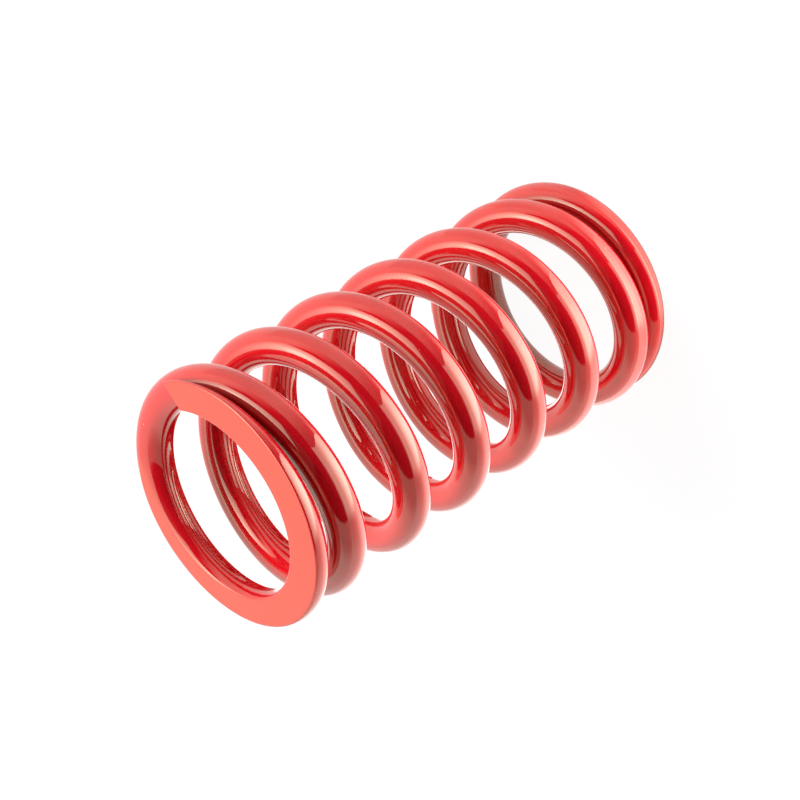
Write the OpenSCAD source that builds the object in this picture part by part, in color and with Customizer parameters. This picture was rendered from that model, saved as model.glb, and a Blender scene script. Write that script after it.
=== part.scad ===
// Compression spring for a coilover damper, standing on one of its ground ends.
// Origin: centre of the lower ground face, +Z along the coil axis.
// Round wire, right-hand wound, both ends closed against the next coil and ground flat.

/* [Wire and bore] */
// inside diameter of the coils, the bore that a damper body passes through
bore_d = 63.5; // [50:0.5:80]
// diameter of the round wire
wire_d = 12.4; // [11:0.1:14]

/* [Length and turns] */
// free length between the two ground faces
free_length = 177.8; // [150:0.1:230]
// turns of wire from one tip to the other
turns = 7.44; // [6:0.01:8.2]

/* [Closed and ground ends] */
// thickness of wire that the grinding leaves at each tip
tip_t = 3.2; // [2:0.1:5]
// clearance between a tip and the coil that it closes against
tip_gap = 0.13; // [0.05:0.01:1]
// rise per turn with which the wire leaves its tip
tip_pitch = 18.2; // [16:0.1:20]
// turns from the tip over which the closed coil flattens out
flatten_turns = 0.65; // [0.55:0.01:0.75]
// turns from the tip at which the coil starts to open
open_start = 0.5; // [0.42:0.01:0.56]
// turns from the tip at which the coil has its full pitch
open_end = 1.29; // [1.15:0.01:1.45]
// angle of the sawn tip edge away from the radial line
tip_lean = 18; // [0:1:25]
// turns from the tip over which that angle fades out
lean_turns = 0.08; // [0.06:0.01:0.12]

/* [Fineness] */
// rings of points along each turn of wire
rings_per_turn = 44; // [24:1:46]
// flats around the wire
wire_sides = 18; // [12:2:18]

/* [Hidden] */
wire_r = wire_d / 2;
coil_r = bore_d / 2 + wire_r;
// height of the wire centre at the lower tip
tip_z = tip_t - wire_r;
steps = round(turns * rings_per_turn);
step_turns = turns / steps;

// 0 to 1 with a flat start and finish
function ease(x) = let(c = min(1, max(0, x))) c * c * (3 - 2 * c);

// turns from step i of the wire to the nearer tip
function to_tip(i) = min(i, steps - i) * step_turns;

// how far the coil has opened, and how far the closed coil has flattened, s turns from a tip
function opened(s) = ease((s - open_start) / (open_end - open_start));
function flattened(s) = ease(s / flatten_turns);

function total(v) = v * [for (x = v) 1];

// running sum of a list, starting from first
function sums(v, first) = [for (i = 0, t = first; i < len(v); t = t + v[i], i = i + 1) t];

// The rise of each step is shared out between three pitches: tip, closed and full.
mid = [for (i = [0:steps - 1]) to_tip(i + 0.5)];
tip_part = [for (s = mid) (1 - flattened(s)) * (1 - opened(s)) * step_turns];
closed_part = [for (s = mid) flattened(s) * (1 - opened(s)) * step_turns];
full_part = [for (s = mid) opened(s) * step_turns];

// how much of each step lies in the first turn, over which the wire climbs past its own tip
first_turn = [for (i = [0:steps - 1]) min(1, max(0, 1 / step_turns - i))];
first_rise = wire_d + tip_gap - tip_pitch * (tip_part * first_turn);
whole_rise = free_length - 2 * tip_z - tip_pitch * total(tip_part);

// Closed and full pitch solve two equations: the rise of the first turn, and that of the whole wire.
closed_first = closed_part * first_turn;
full_first = full_part * first_turn;
determinant = closed_first * total(full_part) - full_first * total(closed_part);
closed_pitch = (first_rise * total(full_part) - whole_rise * full_first) / determinant;
full_pitch = (whole_rise * closed_first - first_rise * total(closed_part)) / determinant;

rise = tip_pitch * tip_part + closed_pitch * closed_part + full_pitch * full_part;
heights = sums(concat(rise, [0]), tip_z);

// climb of the wire at step i, as an angle
function lead(i) = atan(rise[min(i, steps - 1)] / step_turns / (2 * PI * coil_r));

// how far the sawn tip edge leads or trails the wire centre, at step i and out from the centre
function sawn(i, out) =
    let(side = i < steps / 2 ? -1 : 1, fade = max(0, 1 - to_tip(i) / lean_turns))
    side * fade * out * tan(tip_lean);

// one point on the skin of the wire, at step i and angle a around the wire
function skin(i, a) =
    let(
        out = wire_r * cos(a),
        up = wire_r * sin(a),
        along = sawn(i, out) - up * sin(lead(i)),
        turn = 360 * i * step_turns + along / coil_r * 180 / PI
    )
    [(coil_r + out) * cos(turn), (coil_r + out) * sin(turn), heights[i] + up * cos(lead(i))];

// Wire wound into the coil, its end coils running past the ground faces.
module wound_wire() {
    around = [0:wire_sides - 1];
    points = [for (i = [0:steps]) for (k = around) skin(i, k * 360 / wire_sides)];
    walls = [
        for (i = [0:steps - 1]) for (k = around)
            let(n = (k + 1) % wire_sides, a = i * wire_sides, b = a + wire_sides)
            each [[a + k, b + k, a + n], [a + n, b + k, b + n]]
    ];
    lower_tip = [for (k = around) k];
    upper_tip = [for (k = around) (steps + 1) * wire_sides - 1 - k];
    polyhedron(points = points, faces = concat([lower_tip], walls, [upper_tip]));
}

// Everything between the two ground faces.
module ground_length() {
    cylinder(r = coil_r + wire_d, h = free_length);
}

// The whole spring.
module coil_spring() {
    color([0.72, 0.05, 0.07])
        intersection() {
            wound_wire();
            ground_length();
        }
}

coil_spring();
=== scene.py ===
"""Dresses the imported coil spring: smooth wire, glossy red coating, studio and camera. Metres, +Z up."""

import math

import bpy
import numpy as np
from mathutils import Matrix, Vector

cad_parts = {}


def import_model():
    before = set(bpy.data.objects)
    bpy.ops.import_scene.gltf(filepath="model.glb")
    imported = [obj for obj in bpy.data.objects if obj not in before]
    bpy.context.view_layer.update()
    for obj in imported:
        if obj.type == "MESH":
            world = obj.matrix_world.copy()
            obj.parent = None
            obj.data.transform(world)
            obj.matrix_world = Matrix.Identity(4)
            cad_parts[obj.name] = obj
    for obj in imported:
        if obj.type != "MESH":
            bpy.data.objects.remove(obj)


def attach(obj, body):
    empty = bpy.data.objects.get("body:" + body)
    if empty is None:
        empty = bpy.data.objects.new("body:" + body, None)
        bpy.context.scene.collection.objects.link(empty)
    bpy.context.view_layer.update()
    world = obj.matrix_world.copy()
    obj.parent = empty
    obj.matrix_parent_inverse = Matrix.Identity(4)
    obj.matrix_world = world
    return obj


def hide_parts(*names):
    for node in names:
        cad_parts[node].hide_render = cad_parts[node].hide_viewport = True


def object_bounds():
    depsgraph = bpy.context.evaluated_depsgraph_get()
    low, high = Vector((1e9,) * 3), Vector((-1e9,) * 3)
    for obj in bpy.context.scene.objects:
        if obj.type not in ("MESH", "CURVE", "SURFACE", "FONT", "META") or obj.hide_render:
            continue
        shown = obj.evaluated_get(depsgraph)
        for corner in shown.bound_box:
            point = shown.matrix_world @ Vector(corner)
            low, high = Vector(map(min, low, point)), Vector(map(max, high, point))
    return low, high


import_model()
cad_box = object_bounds()

MM = 0.001

# Sizes of the spring
BORE_D = 63.5 * MM
WIRE_D = 12.4 * MM
FREE_LENGTH = cad_box[1].z - cad_box[0].z
TURNS = 7.44
TIP_T = 3.2 * MM
TIP_GAP = 0.13 * MM
TIP_PITCH = 18.2 * MM
FLATTEN_TURNS = 0.65
OPEN_START = 0.5
OPEN_END = 1.29
TIP_LEAN = math.radians(18)
LEAN_TURNS = 0.08

WIRE_R = WIRE_D / 2
COIL_R = BORE_D / 2 + WIRE_R
OUTSIDE_R = COIL_R + WIRE_R
TIP_Z = TIP_T - WIRE_R

# The coating rounds the edges of the ground faces, over a band of even width, and of the sawn tips.
EDGE_BAND = 1.1 * MM
EDGE_R_MAX = 0.45 * WIRE_R
TIP_EDGE_R = 0.7 * MM
TIP_EDGE_RINGS = 5

# Fineness of the wire's mesh
RINGS_PER_TURN = 132
SIDES = 64
# share of the points round the wire that follows the bends of the section and not its length
BEND_SHARE = 0.55

STEPS = round(TURNS * RINGS_PER_TURN)
STEP_TURNS = TURNS / STEPS

# Coating: its colour where it is light and deep, lighter on the ground faces as painted light, and darker
# between two coils and inside them as painted shade
COAT_RED = (0.60, 0.007, 0.013)
COAT_RED_DEEP = (0.54, 0.004, 0.012)
# painted light: a lighter, oranger red where the ground faces catch the most light
COAT_RED_PAINTED_LIGHT_GROUND = (0.60, 0.032, 0.012)
COAT_RED_PAINTED_SHADE = (0.33, 0.002, 0.008)
# patches of light and deep colour: their size and detail
DEPTH_SIZE = 14 * MM
DEPTH_DETAIL = 3
# depth below a ground face over which its painted light fades into the colour of the wire
GROUND_DEPTH = 0.3 * MM
# painted shade: distance to the next coil below which it darkens the coating, and its share inside the
# coils
PAINTED_SHADE_GAP = 9 * MM
INSIDE_PAINTED_SHADE = 0.22
# shine of the coating: its colour, its index of refraction, its roughness and the patches of this
COAT_SHINE = (1.0, 1.0, 0.76)
COAT_IOR = 2.0
COAT_ROUGHNESS = (0.02, 0.05)
SHEEN_SIZE = 5 * MM
SHEEN_DETAIL = 2
# orange peel of the coating: how far apart its lumps are, their detail, and how high they are
PEEL_SIZE = 4 * MM
PEEL_DETAIL = 1
PEEL_DEPTH = 0.004 * MM
# dust: distance between possible specks, their size, and the share of them that is there
DUST_CELL = 3.0 * MM
DUST_SIZE = 0.28 * MM
DUST_SHARE = 0.05
DUST_COLOUR = (0.75, 0.60, 0.57)
DUST_ROUGHNESS = 0.5
# part of a soft noise that holds nearly all of its values
NOISE_MIDDLE = (0.3, 0.7)

# The camera stands above the spring's upper end, rolled so that this end shows at the lower left.
CAMERA_AT = (0.03106, 0.42980, 0.41825)
CAMERA_AIM = (0.00157, -0.00011, 0.09542)
CAMERA_ROLL = math.radians(-121.752)
CAMERA_LENS = 70.50
CAMERA_SENSOR = 36.0
CAMERA_CLIP = (0.01, 20.0)

# Studio: azimuths and elevations are in degrees, azimuth counted from +X towards +Y.
WORLD_LEVEL = 1.0
# floor: its size, its matt colour, and how much of it glows, and how brightly, where it is seen
FLOOR_SIZE = 40.0
FLOOR_MATT = (0.8, 0.8, 0.8)
FLOOR_GLOW = 0.9
FLOOR_SHOWN = 1.05

# Key light: where it is, its size, and about the level at which it alone shows a matt colour facing it
KEY_DIRECTION = (176, 68)
KEY_DISTANCE = 1.0
KEY_SIZE = 0.4
KEY_LEVEL = 1.1

# Shade card: its radius and span, the way to its middle, and where it fades out at its edge and foot
SHADE_R = 1.5
SHADE_ANGLE = math.radians(82)
SHADE_DIRECTION = (65, 37)
SHADE_FADE = (0.15, 0.68)
SHADE_FOOT = (0.03, 0.16)
# how much lower its foot comes past these azimuths
SHADE_FOOT_DROP = 0.2
SHADE_FOOT_DROP_AZIMUTHS = (68, 92)
SHADE_BLACK = (0.01, 0.01, 0.01)
# share of the soft light that it stops
SHADE_SOFT_SHARE = 0.97
# it is grey towards this direction, up to a straight edge, and no denser than this there
GREY_DIRECTION = (-67, -22)
GREY_EDGE = (-0.03, 0.01)
GREY_DENSITY = 0.48

# Overhead light: where it is, its strength in the middle, how far that spreads, and its least strength
OVERHEAD_HEIGHT = 1.09
OVERHEAD_X = (-1.35, 0.42)
OVERHEAD_Y = (0.90, -0.95)
OVERHEAD_MIDDLE = (-0.55, -0.02)
OVERHEAD_LIGHT = 4.3
OVERHEAD_SPREAD = 0.54
OVERHEAD_LEAST = 1.0
# what its core adds, and the radii between which the core ends
OVERHEAD_CORE = 1.5
OVERHEAD_CORE_R = (0.12, 0.24)
# its straight edges: the way that each faces, how far out that way the light ends, and what is left
OVERHEAD_EDGES = (((0.793, 0.610), (0.275, 0.325)), ((-0.562, 0.827), (0.845, 0.905)))
OVERHEAD_DARK = 0.08

# Low light and dim side: fans that lie on the floor round the spring and curve up at their far edge
FAN_RADII = (OUTSIDE_R + 0.15 * MM, 1.4)
FAN_AZIMUTHS = (-110, 190)
FAN_HEIGHT = 0.6 * MM
# radius at which they start to curve up, and how high they end
FAN_BEND_R = 0.9
FAN_RISE = 0.32
# edge between the two fans: its azimuth far out, its swing at the spring, and the reach of that
RIGHT_EDGE = (83, 26, 0.16)

# Low light: strength that it adds at the radius of its peak, and strength that it adds all over
LOW_LIGHT = 4.1
LOW_LIGHT_PEAK_R = 0.13
LOW_LIGHT_WIDE = 0.5
# share of both that is left at the spring's foot
FOOT_SHARE = 0.45
FOOT_RADII = (0.050, 0.060)
# its left edge, given as the right one is, the degrees from it over which the light comes, and the
# share that is left beyond it
LEFT_EDGE = (22, 30, 0.09)
LEFT_EDGE_SOFT = (-5, 9)
LEFT_SHARE = 0.26
# its two drops towards the right edge, each with the azimuths between which it comes
LOW_LIGHT_DROPS = ((0.36, (62, 88)), (0.30, (85, 105)))
# darker patch beyond the left edge, and lighter one further left, with where each comes or ends
LEFT_DARK = 0.45
LEFT_DARK_AZIMUTHS = (-20, 15)
LEFT_DARK_RADII = (0.10, 0.30)
LEFT_GLOW = 0.5
LEFT_GLOW_AZIMUTHS = (-60, -20)
LEFT_GLOW_RADII = (0.5, 0.9)
# far part of the lit side: the azimuths over which it ends, its added glow, and how it fades out
FAR_AZIMUTHS = (62, 80)
FAR_GLOW = 0.4
FAR_GLOW_RADII = (0.7, 1.0)
FAR_FADE = 0.75
FAR_FADE_RADII = (1.15, 1.4)

# Dim side: its level, and what is added further round, near the spring, and near both spring and edge
DIM_LEVEL = 0.2
DIM_ROUND = 0.6
DIM_ROUND_AZIMUTHS = (2, 45)
DIM_NEAR = 0.2
DIM_NEAR_RADII = (0.06, 0.15)
DIM_EDGE = 1.2
DIM_EDGE_AZIMUTHS = (0, 24)

# Foot light: a ring round the lower end coil that lights matt colour and shows in no reflection
FOOT_LIGHT_RADII = (OUTSIDE_R + 0.15 * MM, 0.24)
FOOT_LIGHT_AZIMUTHS = (-80, 140)
FOOT_LIGHT_HEIGHT = 0.9 * MM
FOOT_LIGHT = 3.8
FOOT_LIGHT_LEAST = 1.5
# shares of its length over which it comes and goes, and of its width over which it goes
FOOT_LIGHT_START = (0, 0.4)
FOOT_LIGHT_END = (0.75, 1)
FOOT_LIGHT_OUT = (0.5, 1)


def ease(x):
    """0 to 1 with a flat start and finish."""
    c = np.clip(x, 0, 1)
    return c * c * (3 - 2 * c)


def step(value, start, finish):
    """0 before start, 1 after finish, with a soft change between them."""
    return float(ease((value - start) / (finish - start)))


def fall(value, start, finish):
    """1 before start, 0 after finish, with a soft change between them."""
    return 1 - step(value, start, finish)


def between(first, last, share):
    """Value at a share of the way from the first one to the last."""
    return first + (last - first) * share


def direction(azimuth, elevation):
    """Unit vector from degrees."""
    a, e = math.radians(azimuth), math.radians(elevation)
    return Vector((math.cos(a) * math.cos(e), math.sin(a) * math.cos(e), math.sin(e)))


def wire_heights():
    """Height of the wire centre at each ring, from the lower tip to the upper one."""
    i = np.arange(STEPS)
    s = np.minimum(i + 0.5, STEPS - i - 0.5) * STEP_TURNS
    opened = ease((s - OPEN_START) / (OPEN_END - OPEN_START))
    flattened = ease(s / FLATTEN_TURNS)
    tip_part = (1 - flattened) * (1 - opened) * STEP_TURNS
    closed_part = flattened * (1 - opened) * STEP_TURNS
    full_part = opened * STEP_TURNS
    first_turn = np.clip(1 / STEP_TURNS - i, 0, 1)

    # The closed and the full pitch follow from the rise of the first turn and of the whole wire.
    equations = np.array(
        [
            [closed_part @ first_turn, full_part @ first_turn],
            [closed_part.sum(), full_part.sum()],
        ]
    )
    rises = np.array(
        [
            WIRE_D + TIP_GAP - TIP_PITCH * (tip_part @ first_turn),
            FREE_LENGTH - 2 * TIP_Z - TIP_PITCH * tip_part.sum(),
        ]
    )
    closed_pitch, full_pitch = np.linalg.solve(equations, rises)
    rise = TIP_PITCH * tip_part + closed_pitch * closed_part + full_pitch * full_part
    return TIP_Z + np.concatenate([[0], np.cumsum(rise)])


def half_section(cut):
    """Right half of the wire's section, ground off at a height of cut above the wire centre.

    Returns a function from 0, the far side, to 1, the middle of the ground face. It gives the
    point and the normal there, each as (out, up).
    """
    turn = math.acos(max(-1.0, min(1.0, cut / WIRE_R)))
    edge_r = min(EDGE_R_MAX, EDGE_BAND / turn) if turn > 0 else 0.0
    centre_up = min(cut, WIRE_R) - edge_r
    centre_out = math.sqrt(max(0.0, (WIRE_R - edge_r) ** 2 - centre_up**2))
    start = math.atan2(centre_up, centre_out)
    bend = math.pi / 2 - start
    arc_share = start + math.pi / 2
    edge_share = bend * ((1 - BEND_SHARE) * edge_r / WIRE_R + BEND_SHARE)
    flat_share = (1 - BEND_SHARE) * centre_out / WIRE_R

    def at(t):
        w = t * (arc_share + edge_share + flat_share)
        if w <= arc_share:
            angle = w - math.pi / 2
            normal = (math.cos(angle), math.sin(angle))
            return (WIRE_R * normal[0], WIRE_R * normal[1]), normal
        if w <= arc_share + edge_share:
            angle = start + bend * (w - arc_share) / edge_share
            normal = (math.cos(angle), math.sin(angle))
            return (centre_out + edge_r * normal[0], centre_up + edge_r * normal[1]), normal
        left = 1 - (w - arc_share - edge_share) / flat_share
        return (centre_out * left, cut), (0.0, 1.0)

    return at


def section(cut, side):
    """Points and normals round the wire, as (out, up), its ground face up (side 1) or down (-1)."""
    at = half_section(cut)
    half = SIDES // 2
    points, normals = [], []
    for m in range(SIDES):
        k = m if side > 0 else (half - m) % SIDES
        hand = 1 if k <= half else -1
        point, normal = at(min(k, SIDES - k) / half)
        points.append((hand * point[0], side * point[1]))
        normals.append((hand * normal[0], side * normal[1]))
    return np.array(points), np.array(normals)


def placed(turns, z, lead, points, along):
    """Section points set in place on the coil, along metres ahead of their ring."""
    out, up = points[:, 0], points[:, 1]
    angle = 2 * math.pi * turns + (along - up * math.sin(lead)) / COIL_R
    radius = COIL_R + out
    return np.stack([radius * np.cos(angle), radius * np.sin(angle), z + up * math.cos(lead)], 1)


def axes(turns, lead):
    """Directions at a ring: out from the coil axis, up across the wire, and ahead along the wire."""
    angle = 2 * math.pi * turns
    out = np.array([math.cos(angle), math.sin(angle), 0.0])
    level = np.array([-math.sin(angle), math.cos(angle), 0.0])
    rise = np.array([0.0, 0.0, 1.0])
    up = rise * math.cos(lead) - level * math.sin(lead)
    ahead = level * math.cos(lead) + rise * math.sin(lead)
    return out, up, ahead


def tip_rings(turns, z, lead, flat, flat_normals, lean, side):
    """Rings that round the edge of the sawn face at a tip, from the wire towards the face."""
    out, up, ahead = axes(turns, lead)
    skin = flat_normals[:, :1] * out + flat_normals[:, 1:] * up
    face = side * (ahead * math.cos(TIP_LEAN) - side * out * math.sin(TIP_LEAN))
    points, normals = [], []
    for j in range(1, TIP_EDGE_RINGS + 1):
        angle = math.pi / 2 * j / TIP_EDGE_RINGS
        inset = flat - TIP_EDGE_R * (1 - math.cos(angle)) * flat_normals
        along = lean + side * TIP_EDGE_R * (math.sin(angle) - 1)
        points.append(placed(turns, z, lead, inset, along))
        normal = skin * math.cos(angle) + face * math.sin(angle)
        normals.append(normal / np.linalg.norm(normal, axis=1, keepdims=True))
    return np.array(points), np.array(normals)


def exact_normals(points, tangents, rough_normals):
    """Normals square to the lines along the wire and to the tangents round it, pointing outwards."""
    normals = np.cross(np.gradient(points, axis=0), tangents)
    normals *= np.sign((normals * rough_normals).sum(2, keepdims=True))
    return normals / np.linalg.norm(normals, axis=2, keepdims=True)


def wire_rings():
    """Points and normals of every ring, tips included, as two arrays of rings x sides x 3."""
    heights = wire_heights()
    leads = np.arctan(np.gradient(heights) / STEP_TURNS / (2 * math.pi * COIL_R))
    points, tangents, rough_normals = [], [], []
    tips = {}
    for i in range(STEPS + 1):
        side = -1 if i < STEPS / 2 else 1
        turns, z, lead = i * STEP_TURNS, heights[i], leads[i]
        cut = (z if side < 0 else FREE_LENGTH - z) / math.cos(lead)
        flat, flat_normals = section(cut, side)
        leaning = max(0.0, 1 - min(i, STEPS - i) * STEP_TURNS / LEAN_TURNS)
        lean = side * leaning * flat[:, 0] * math.tan(TIP_LEAN)
        if i in (0, STEPS):
            tips[side] = tip_rings(turns, z, lead, flat, flat_normals, lean, side)
            lean = lean - side * TIP_EDGE_R
        out, up, _ = axes(turns, lead)
        points.append(placed(turns, z, lead, flat, lean))
        tangents.append(-flat_normals[:, 1:] * out + flat_normals[:, :1] * up)
        rough_normals.append(flat_normals[:, :1] * out + flat_normals[:, 1:] * up)
    points = np.array(points)
    normals = exact_normals(points, np.array(tangents), np.array(rough_normals))
    low, high = tips[-1], tips[1]
    return (
        np.concatenate([low[0][::-1], points, high[0]]),
        np.concatenate([low[1][::-1], normals, high[1]]),
    )


def painted_shade_share(points, normals):
    """Painted shade: how far each point faces a near neighbouring coil or the inside of the coils, from 0
    to 1.
    """
    heights = wire_heights()
    turns = np.arange(STEPS + 1) * STEP_TURNS
    ring_turns = np.pad(turns, TIP_EDGE_RINGS, mode="edge")[:, None]
    radius = np.hypot(points[..., 0], points[..., 1])
    outwards = (normals[..., :2] * points[..., :2]).sum(2) / radius
    most = INSIDE_PAINTED_SHADE * np.clip(-outwards, 0, 1)
    for way in (-1, 1):
        # A point with no coil on this side is measured to a height far from the spring.
        height = np.interp(ring_turns + way, turns, heights, left=-1.0, right=1.0)
        across, up = COIL_R - radius, height - points[..., 2]
        distance = np.hypot(across, up)
        facing = np.clip((outwards * across + normals[..., 2] * up) / distance, 0, 1)
        near = 1 - ease((distance - WIRE_R) / PAINTED_SHADE_GAP)
        most = np.maximum(most, near * facing**2)
    return most


def on_ground_face(points):
    """1 at points on the two ground faces, 0 at points that lie deeper than their painted light reaches.
    """
    depth = np.minimum(points[..., 2], FREE_LENGTH - points[..., 2])
    return ease(1 - depth / GROUND_DEPTH)


def write_values(mesh, name, values):
    """Gives each point of a mesh its value, for materials to read under a name."""
    mesh.attributes.new(name, "FLOAT", "POINT").data.foreach_set("value", values)


def wire_mesh():
    """The spring as one closed smooth mesh."""
    points, normals = wire_rings()
    last = (len(points) - 1) * SIDES
    faces = []
    for a in range(0, last, SIDES):
        for k in range(SIDES):
            n = (k + 1) % SIDES
            faces.append((a + k, a + SIDES + k, a + SIDES + n, a + n))
    faces.append(tuple(range(SIDES)))
    faces.append(tuple(last + k for k in reversed(range(SIDES))))
    mesh = bpy.data.meshes.new("spring_wire")
    mesh.from_pydata(points.reshape(-1, 3).tolist(), [], faces)
    mesh.shade_smooth()
    mesh.normals_split_custom_set_from_vertices(normals.reshape(-1, 3).tolist())
    # painted shade between the coils and inside them, read by the coating
    write_values(mesh, "painted_shade", painted_shade_share(points, normals).ravel())
    # where the ground faces get their painted light
    write_values(mesh, "ground", on_ground_face(points).ravel())
    mesh.update()
    piece = bpy.data.objects.new("spring_wire", mesh)
    bpy.context.scene.collection.objects.link(piece)
    return piece


def empty_material(name):
    """Material with no nodes yet, with its nodes and links."""
    material = bpy.data.materials.new(name)
    material.use_nodes = True
    material.node_tree.nodes.clear()
    return material, material.node_tree.nodes, material.node_tree.links


def attribute(nodes, name):
    """Value that a mesh carries under a name."""
    node = nodes.new("ShaderNodeAttribute")
    node.attribute_name = name
    return node.outputs["Fac"]


def calculated(nodes, links, kind, *values):
    """Result of a math node of one kind, from values that are each a number or a socket."""
    node = nodes.new("ShaderNodeMath")
    node.operation = kind
    for socket, value in zip(node.inputs, values):
        if isinstance(value, (int, float)):
            socket.default_value = value
        else:
            links.new(value, socket)
    return node.outputs[0]


def noise(nodes, links, place, size, detail):
    """Soft noise from 0 to 1 whose lumps are about size metres across."""
    texture = nodes.new("ShaderNodeTexNoise")
    texture.inputs["Scale"].default_value = 1 / size
    texture.inputs["Detail"].default_value = detail
    links.new(place, texture.inputs["Vector"])
    return texture.outputs["Fac"]


def spread(nodes, links, value, low, high):
    """Noise whose middle part is spread from low to high."""
    node = nodes.new("ShaderNodeMapRange")
    node.inputs["From Min"].default_value = NOISE_MIDDLE[0]
    node.inputs["From Max"].default_value = NOISE_MIDDLE[1]
    node.inputs["To Min"].default_value = low
    node.inputs["To Max"].default_value = high
    links.new(value, node.inputs["Value"])
    return node.outputs["Result"]


def dust(nodes, links, place):
    """1 on a few tiny specks of dust, 0 elsewhere."""
    cells = nodes.new("ShaderNodeTexVoronoi")
    cells.inputs["Scale"].default_value = 1 / DUST_CELL
    links.new(place, cells.inputs["Vector"])
    number = nodes.new("ShaderNodeSeparateColor")
    links.new(cells.outputs["Color"], number.inputs["Color"])
    radius = DUST_SIZE / DUST_CELL / 2
    speck = calculated(nodes, links, "LESS_THAN", cells.outputs["Distance"], radius)
    chosen = calculated(nodes, links, "LESS_THAN", number.outputs["Red"], DUST_SHARE)
    return calculated(nodes, links, "MULTIPLY", speck, chosen)


def mixed(nodes, links, share, first, second):
    """Colour between two others, each a colour or a socket."""
    node = nodes.new("ShaderNodeMix")
    node.data_type = "RGBA"
    links.new(share, node.inputs["Factor"])
    for socket, colour in ((node.inputs["A"], first), (node.inputs["B"], second)):
        if isinstance(colour, tuple):
            socket.default_value = (*colour, 1)
        else:
            links.new(colour, socket)
    return node.outputs["Result"]


def gloss_coat():
    """Glossy red powder coat with a faint orange peel, uneven depth of colour and a little dust, with
    painted shade between the coils and painted light on the ground faces.
    """
    material = bpy.data.materials.new("gloss_coat")
    material.use_nodes = True
    nodes, links = material.node_tree.nodes, material.node_tree.links
    shader = nodes["Principled BSDF"]
    shader.inputs["IOR"].default_value = COAT_IOR
    shader.inputs["Specular Tint"].default_value = (*COAT_SHINE, 1)
    place = nodes.new("ShaderNodeTexCoord").outputs["Object"]

    specks = dust(nodes, links, place)
    depth = spread(nodes, links, noise(nodes, links, place, DEPTH_SIZE, DEPTH_DETAIL), 0, 1)
    red = mixed(nodes, links, depth, COAT_RED_DEEP, COAT_RED)
    # painted light: lighter, oranger red on the ground faces
    red = mixed(nodes, links, attribute(nodes, "ground"), red, COAT_RED_PAINTED_LIGHT_GROUND)
    # painted shade: darker red near the next coil and inside the coils
    red = mixed(nodes, links, attribute(nodes, "painted_shade"), red, COAT_RED_PAINTED_SHADE)
    links.new(mixed(nodes, links, specks, red, DUST_COLOUR), shader.inputs["Base Color"])

    sheen = noise(nodes, links, place, SHEEN_SIZE, SHEEN_DETAIL)
    sheen = spread(nodes, links, sheen, *COAT_ROUGHNESS)
    rough = calculated(nodes, links, "MULTIPLY_ADD", specks, DUST_ROUGHNESS, sheen)
    links.new(rough, shader.inputs["Roughness"])

    peel = nodes.new("ShaderNodeBump")
    peel.inputs["Strength"].default_value = 1.0
    peel.inputs["Distance"].default_value = PEEL_DEPTH
    links.new(noise(nodes, links, place, PEEL_SIZE, PEEL_DETAIL), peel.inputs["Height"])
    links.new(peel.outputs["Normal"], shader.inputs["Normal"])
    return material


def end_with(nodes, links, share, first, second):
    """Ends a material with one shader where share is 0 and with another where it is 1."""
    mix = nodes.new("ShaderNodeMixShader")
    links.new(share, mix.inputs[0])
    links.new(first.outputs[0], mix.inputs[1])
    links.new(second.outputs[0], mix.inputs[2])
    output = nodes.new("ShaderNodeOutputMaterial")
    links.new(mix.outputs[0], output.inputs["Surface"])


def floor_material():
    """Matt white that glows only where the camera, reflections or clear materials see it."""
    material, nodes, links = empty_material("studio_floor")
    matt = nodes.new("ShaderNodeBsdfDiffuse")
    matt.inputs["Color"].default_value = (*FLOOR_MATT, 1)
    glow = nodes.new("ShaderNodeEmission")
    glow.inputs["Strength"].default_value = FLOOR_SHOWN
    ray = nodes.new("ShaderNodeLightPath").outputs
    seen = calculated(nodes, links, "ADD", ray["Is Camera Ray"], ray["Is Glossy Ray"])
    seen = calculated(nodes, links, "ADD", seen, ray["Is Transmission Ray"])
    end_with(nodes, links, calculated(nodes, links, "MULTIPLY", seen, FLOOR_GLOW), matt, glow)
    return material


def glow_material():
    """White light from the front of a card, as bright as the card's strength."""
    material, nodes, links = empty_material("glow_card")
    light = nodes.new("ShaderNodeEmission")
    links.new(attribute(nodes, "strength"), light.inputs["Strength"])
    behind = nodes.new("ShaderNodeNewGeometry").outputs["Backfacing"]
    front = calculated(nodes, links, "SUBTRACT", 1.0, behind)
    end_with(nodes, links, front, nodes.new("ShaderNodeBsdfTransparent"), light)
    return material


def shade_material():
    """Black, as dense as the card's strength, which lets a little of the soft light through."""
    material, nodes, links = empty_material("shade_card")
    black = nodes.new("ShaderNodeBsdfDiffuse")
    black.inputs["Color"].default_value = (*SHADE_BLACK, 1)
    soft = nodes.new("ShaderNodeLightPath").outputs["Is Diffuse Ray"]
    stopped = calculated(nodes, links, "MULTIPLY_ADD", soft, SHADE_SOFT_SHARE - 1, 1.0)
    dense = calculated(nodes, links, "MULTIPLY", attribute(nodes, "strength"), stopped)
    end_with(nodes, links, dense, nodes.new("ShaderNodeBsdfTransparent"), black)
    return material


def world():
    """Plain white surroundings."""
    surroundings = bpy.data.worlds.new("studio")
    surroundings.use_nodes = True
    background = surroundings.node_tree.nodes["Background"]
    background.inputs["Color"].default_value = (1, 1, 1, 1)
    background.inputs["Strength"].default_value = WORLD_LEVEL
    bpy.context.scene.world = surroundings


def floor():
    """White floor, shown near white and with the spring's soft shadow."""
    bpy.ops.mesh.primitive_plane_add(size=FLOOR_SIZE)
    plane = bpy.context.object
    plane.name = "studio_floor"
    plane.data.materials.append(floor_material())


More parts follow.
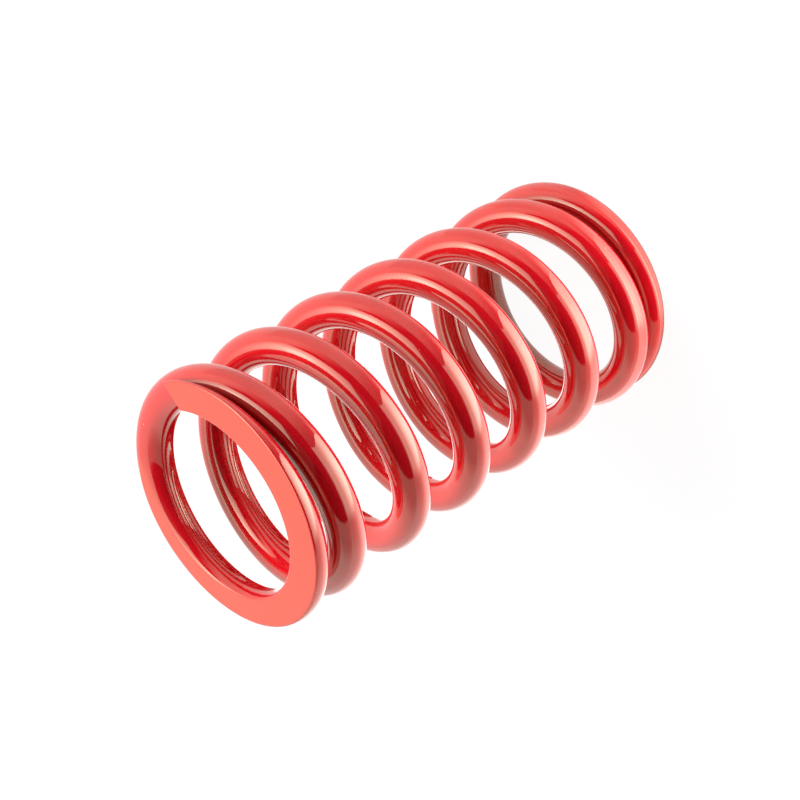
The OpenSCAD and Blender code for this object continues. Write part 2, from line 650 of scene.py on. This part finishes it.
def key_light():
    """Soft light from the side away from the camera, left out of reflections."""
    data = bpy.data.lights.new("key_light", "AREA")
    data.shape = "SQUARE"
    data.size = KEY_SIZE
    data.energy = KEY_LEVEL * (math.pi * KEY_DISTANCE) ** 2
    lamp = bpy.data.objects.new("key_light", data)
    towards = direction(*KEY_DIRECTION)
    lamp.location = KEY_DISTANCE * towards
    lamp.rotation_euler = towards.to_track_quat("Z", "Y").to_euler()
    lamp.visible_camera = False
    lamp.visible_glossy = False
    bpy.context.scene.collection.objects.link(lamp)


def card(name, at, material, rows, columns, matt=True, shine=True):
    """Curved or flat card of the studio, hidden from the camera itself.

    at gives a point and its strength, for shares from 0 to 1 along the card's rows and columns.
    matt and shine say whether the card shows in matt colours and in shiny reflections.
    """
    points, strengths, faces = [], [], []
    for i in range(rows + 1):
        for k in range(columns + 1):
            point, strength = at(i / rows, k / columns)
            points.append(point)
            strengths.append(strength)
    for i in range(rows):
        for k in range(columns):
            a = i * (columns + 1) + k
            faces.append((a, a + columns + 1, a + columns + 2, a + 1))
    mesh = bpy.data.meshes.new(name)
    mesh.from_pydata(points, [], faces)
    write_values(mesh, "strength", strengths)
    mesh.materials.append(material)
    board = bpy.data.objects.new(name, mesh)
    board.visible_camera = False
    board.visible_diffuse = matt
    board.visible_glossy = shine
    bpy.context.scene.collection.objects.link(board)


def shade_at(s, t):
    """Shade card: part of a sphere round the camera's side of the studio, fading out at its edges."""
    axis = direction(*SHADE_DIRECTION)
    side = axis.cross((0, 0, 1)).normalized()
    angle, around = s * SHADE_ANGLE, t * 2 * math.pi
    across = side * math.cos(around) + axis.cross(side) * math.sin(around)
    towards = axis * math.cos(angle) + across * math.sin(angle)
    azimuth = math.degrees(math.atan2(towards.y, towards.x))
    height = towards.z + SHADE_FOOT_DROP * step(azimuth, *SHADE_FOOT_DROP_AZIMUTHS)
    dense = float(np.clip((math.cos(angle) - SHADE_FADE[0]) / (SHADE_FADE[1] - SHADE_FADE[0]), 0, 1))
    grey = step(towards.dot(direction(*GREY_DIRECTION)), *GREY_EDGE)
    dense = between(dense, min(dense, GREY_DENSITY), grey)
    return towards * SHADE_R, dense * step(height, *SHADE_FOOT)


def overhead_at(s, t):
    """Overhead light: level and shining down, brightest at its middle, with two straight dark edges."""
    x, y = between(*OVERHEAD_X, s), between(*OVERHEAD_Y, t)
    away = math.hypot(x - OVERHEAD_MIDDLE[0], y - OVERHEAD_MIDDLE[1])
    glow = max(OVERHEAD_LEAST, OVERHEAD_LIGHT / (1 + (away / OVERHEAD_SPREAD) ** 2))
    glow += OVERHEAD_CORE * fall(away, *OVERHEAD_CORE_R)
    for facing, end in OVERHEAD_EDGES:
        glow *= fall(facing[0] * x + facing[1] * y, *end)
    return (x, y, OVERHEAD_HEIGHT), OVERHEAD_DARK + glow


def fan_radius(s):
    """Radius of a fan at a share of its rows, which widen outwards."""
    return FAN_RADII[0] * (FAN_RADII[1] / FAN_RADII[0]) ** s


def fan_place(radius, azimuth):
    """Point of a fan, close above the floor and higher towards its far edge."""
    bent = max(0.0, (radius - FAN_BEND_R) / (FAN_RADII[1] - FAN_BEND_R))
    place = direction(azimuth, 0) * radius
    return place.x, place.y, FAN_HEIGHT + FAN_RISE * bent**2


def edge_azimuth(radius, edge):
    """Azimuth at a radius of an edge that swings round near the spring."""
    far, swing, reach = edge
    return far + swing / (1 + (radius / reach) ** 2)


def low_light_at(s, t):
    """Low light: a fan on the floor, brightest just beside the spring on the camera's side."""
    radius = fan_radius(s)
    azimuth = between(FAN_AZIMUTHS[0], edge_azimuth(radius, RIGHT_EDGE), t)
    lit = step(azimuth - edge_azimuth(radius, LEFT_EDGE), *LEFT_EDGE_SOFT)
    bright = LOW_LIGHT_WIDE + LOW_LIGHT / (1 + (radius / LOW_LIGHT_PEAK_R - 1) ** 2)
    bright *= between(FOOT_SHARE, 1, step(radius, *FOOT_RADII))
    side = between(LEFT_SHARE, 1, lit)
    for drop, azimuths in LOW_LIGHT_DROPS:
        side -= drop * step(azimuth, *azimuths)
    dark = LEFT_DARK * (1 - lit) * step(azimuth, *LEFT_DARK_AZIMUTHS) * step(radius, *LEFT_DARK_RADII)
    left = LEFT_GLOW * fall(azimuth, *LEFT_GLOW_AZIMUTHS) * fall(radius, *LEFT_GLOW_RADII)
    beyond = lit * fall(azimuth, *FAR_AZIMUTHS)
    far = FAR_GLOW * beyond * step(radius, *FAR_GLOW_RADII)
    level = WORLD_LEVEL - dark + side * bright + left + far
    level *= 1 - FAR_FADE * beyond * step(radius, *FAR_FADE_RADII)
    return fan_place(radius, azimuth), level


def dim_side_at(s, t):
    """Dim side: a fan on the floor, dark next to the low light and light grey further round."""
    radius = fan_radius(s)
    edge = edge_azimuth(radius, RIGHT_EDGE)
    azimuth = between(edge, FAN_AZIMUTHS[1], t)
    near = DIM_NEAR + DIM_EDGE * fall(azimuth - edge, *DIM_EDGE_AZIMUTHS)
    level = DIM_LEVEL + DIM_ROUND * step(azimuth - edge, *DIM_ROUND_AZIMUTHS)
    level += near * fall(radius, *DIM_NEAR_RADII)
    return fan_place(radius, azimuth), level


def foot_light_at(s, t):
    """Foot light: just above the floor, fading out away from the coil and at its two ends."""
    place = direction(between(*FOOT_LIGHT_AZIMUTHS, t), 0) * between(*FOOT_LIGHT_RADII, s)
    ends = step(t, *FOOT_LIGHT_START) * fall(t, *FOOT_LIGHT_END)
    level = FOOT_LIGHT_LEAST + FOOT_LIGHT * ends * fall(s, *FOOT_LIGHT_OUT)
    return (place.x, place.y, FOOT_LIGHT_HEIGHT), level


def cards():
    """Lights over and beside the spring, with the shade card and the dim side between them."""
    glow = glow_material()
    card("shade_card", shade_at, shade_material(), rows=100, columns=200)
    card("overhead_light", overhead_at, glow, rows=80, columns=100, matt=False)
    card("low_light", low_light_at, glow, rows=60, columns=110)
    card("dim_side", dim_side_at, glow, rows=50, columns=40, matt=False)
    card("foot_light", foot_light_at, glow, rows=20, columns=60, shine=False)


def camera():
    """Camera at the photograph's view, for a frame of 800 x 800."""
    data = bpy.data.cameras.new("camera")
    data.lens = CAMERA_LENS
    data.sensor_width = CAMERA_SENSOR
    data.clip_start, data.clip_end = CAMERA_CLIP
    eye = bpy.data.objects.new("camera", data)
    view_line = Vector(CAMERA_AIM) - Vector(CAMERA_AT)
    level = view_line.to_track_quat("-Z", "Y").to_matrix().to_4x4()
    roll = Matrix.Rotation(CAMERA_ROLL, 4, "Z")
    eye.matrix_world = Matrix.Translation(CAMERA_AT) @ level @ roll
    bpy.context.scene.collection.objects.link(eye)
    bpy.context.scene.camera = eye


camera()
world()
floor()
key_light()
cards()

spring = wire_mesh()
spring.data.materials.append(gloss_coat())
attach(spring, "root")
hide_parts("coil_spring")

bpy.context.scene.view_settings.view_transform = "Standard"
